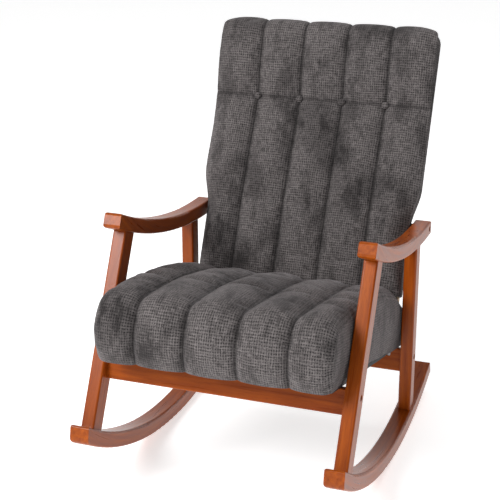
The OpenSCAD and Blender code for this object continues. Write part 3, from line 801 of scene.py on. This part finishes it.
def finish_mesh(bm, name, material):
    """Turns a bmesh into a smooth-shaded piece with that name and material."""
    bmesh.ops.recalc_face_normals(bm, faces=bm.faces)
    for face in bm.faces:
        face.smooth = True
    mesh = bpy.data.meshes.new(name)
    bm.to_mesh(mesh)
    bm.free()
    mesh.materials.append(material)
    piece = bpy.data.objects.new(name, mesh)
    bpy.context.scene.collection.objects.link(piece)
    return piece


LINING_HALF = 261 * MM
LINING_RISE = 15 * MM         # how far the lining is turned up round the seat's lower edge
LINING_ENDS = (-74 * MM, 556 * MM)
LINING_CELLS = 60


def under_lining(space, material):
    """Thin black cloth over the seat's underside, turned up a little along its edges."""
    bm = bmesh.new()
    cells = LINING_CELLS
    s = np.linspace(*LINING_ENDS, cells + 1)
    x = np.linspace(-LINING_HALF, LINING_HALF, cells + 1)

    def corner(i, j, level):
        edge = max(abs(2 * i / cells - 1), abs(2 * j / cells - 1)) ** 24
        sag = 0.6 * MM * noise.noise(Vector((x[j] * 22, s[i] * 22, 0)))
        ripple = 0.8 * MM * math.sin(s[i] / (13 * MM)) * level
        out = 1 + (ripple * np.sign(x[j]) * edge) / LINING_HALF
        height = LINING_RISE * level + sag * (1 - level) - 0.4 * MM + 1.2 * MM * edge * (level == 0)
        return bm.verts.new(space.put(np.array(x[j] * out), np.array(s[i]), np.array(height)))

    floor = [[corner(i, j, 0.0) for j in range(cells + 1)] for i in range(cells + 1)]
    for i in range(cells):
        for j in range(cells):
            bm.faces.new((floor[i][j], floor[i][j + 1], floor[i + 1][j + 1], floor[i + 1][j]))
    rim = [(i, 0) for i in range(cells)] + [(cells, j) for j in range(cells)]
    rim += [(i, cells) for i in range(cells, 0, -1)] + [(0, j) for j in range(cells, 0, -1)]
    rows = [[floor[i][j] for i, j in rim]]
    rows += [[corner(i, j, level) for i, j in rim] for level in (0.35, 0.7, 1.0)]
    for a, b in zip(rows, rows[1:]):
        for k in range(len(rim)):
            bm.faces.new((a[k], a[k - 1], b[k - 1], b[k]))
    piece = finish_mesh(bm, "under_lining", material)
    thick = piece.modifiers.new("thick", "SOLIDIFY")
    thick.thickness = 0.8 * MM
    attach(piece, "root")
    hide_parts("seat_dust_cover")


BUTTON_R = 9 * MM
BUTTON_H = 7 * MM
BUTTON_DEPTH = 26 * MM        # where a button is seated, behind the back's datum


def buttons(space, material):
    """Four fabric-covered buttons, each a shallow dome on a rolled edge."""
    bm = bmesh.new()
    cloth = bm.loops.layers.uv.new("cloth")
    rings, sides = 7, 28
    turn = np.arange(sides) * 2 * math.pi / sides
    inner, outer = BACK_SEAMS
    for middle in (-outer, -inner, inner, outer):
        rows = []
        for i in range(rings + 1):
            angle = math.pi * (0.06 + 0.94 * i / rings) * 0.62
            radius = BUTTON_R * math.sin(angle)
            depth = BUTTON_DEPTH - BUTTON_H * (0.55 + math.cos(angle))
            ring = space.put(middle + radius * np.cos(turn), np.full(sides, depth),
                             BUTTON_ROW + radius * np.sin(turn))
            rows.append([bm.verts.new(point) for point in ring])
        faces = [bm.faces.new(rows[0]), bm.faces.new(rows[-1][::-1])]
        for a, b in zip(rows, rows[1:]):
            for k in range(sides):
                after = (k + 1) % sides
                faces.append(bm.faces.new((a[k], b[k], b[after], a[after])))
        for face in faces:
            for loop in face.loops:
                loop[cloth].uv = (loop.vert.co.x, loop.vert.co.z)
    piece = finish_mesh(bm, "buttons", material)
    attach(piece, "root")
    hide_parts("tuft_buttons")


# ---- stage ----

def light(name, azimuth, elevation, distance, size, power):
    data = bpy.data.lights.new(name, "AREA")
    data.shape = "DISK"
    data.size = size
    data.energy = power
    lamp = bpy.data.objects.new(name, data)
    bpy.context.scene.collection.objects.link(lamp)
    target = Vector((0, 0, 0.5))
    aim(lamp, target + polar(azimuth, elevation, distance), target)


def stage():
    bpy.ops.mesh.primitive_plane_add(size=60.0)
    floor = bpy.context.object
    floor.name = "floor"
    floor.data.materials.append(backdrop("floor", 0.62))
    studio_sky()
    light("key", -30, 34, 4.2, 1.8, 150)
    light("fill", 70, 30, 4.5, 2.5, 8)
    light("top", 160, 70, 3.8, 2.0, 30)
    bpy.context.scene.view_settings.view_transform = "Standard"


# Axis, its span, and the sky's strength at the span's two ends
SKY = (("Y", -0.6, 0.8, 0.42, 0.95), ("Z", 0.10, 0.55, 1.0, 0.55), ("X", 0.1, 0.8, 1.0, 0.40))


def studio_sky():
    """A white sky that is brightest behind the chair, and dimmer above and to the camera's right."""
    world = bpy.data.worlds.new("studio")
    world.use_nodes = True
    tree = world.node_tree
    sky = tree.nodes["Background"]
    where = tree.nodes.new("ShaderNodeTexCoord")
    axes = tree.nodes.new("ShaderNodeSeparateXYZ")
    tree.links.new(where.outputs["Generated"], axes.inputs[0])
    strength = tree.nodes.new("ShaderNodeValue").outputs[0]
    strength.default_value = 1.0
    for axis, *span in SKY:
        ramp = tree.nodes.new("ShaderNodeMapRange")
        tree.links.new(axes.outputs[axis], ramp.inputs["Value"])
        for key, value in zip(("From Min", "From Max", "To Min", "To Max"), span):
            ramp.inputs[key].default_value = value
        product = tree.nodes.new("ShaderNodeMath")
        product.operation = "MULTIPLY"
        tree.links.new(strength, product.inputs[0])
        tree.links.new(ramp.outputs[0], product.inputs[1])
        strength = product.outputs[0]
    tree.links.new(strength, sky.inputs[1])
    sky.inputs[0].default_value = rgb(1, 1, 1)
    bpy.context.scene.world = world


make_camera()
fabric = chenille()
shared = paint_frame()
under_lining(seat_plane(), shared["lining"])
seat_cushion(seat_plane(), fabric)
back_cushion(back_plane(), fabric)
buttons(back_plane(), fabric)
stage()

bpy.context.view_layer.update()
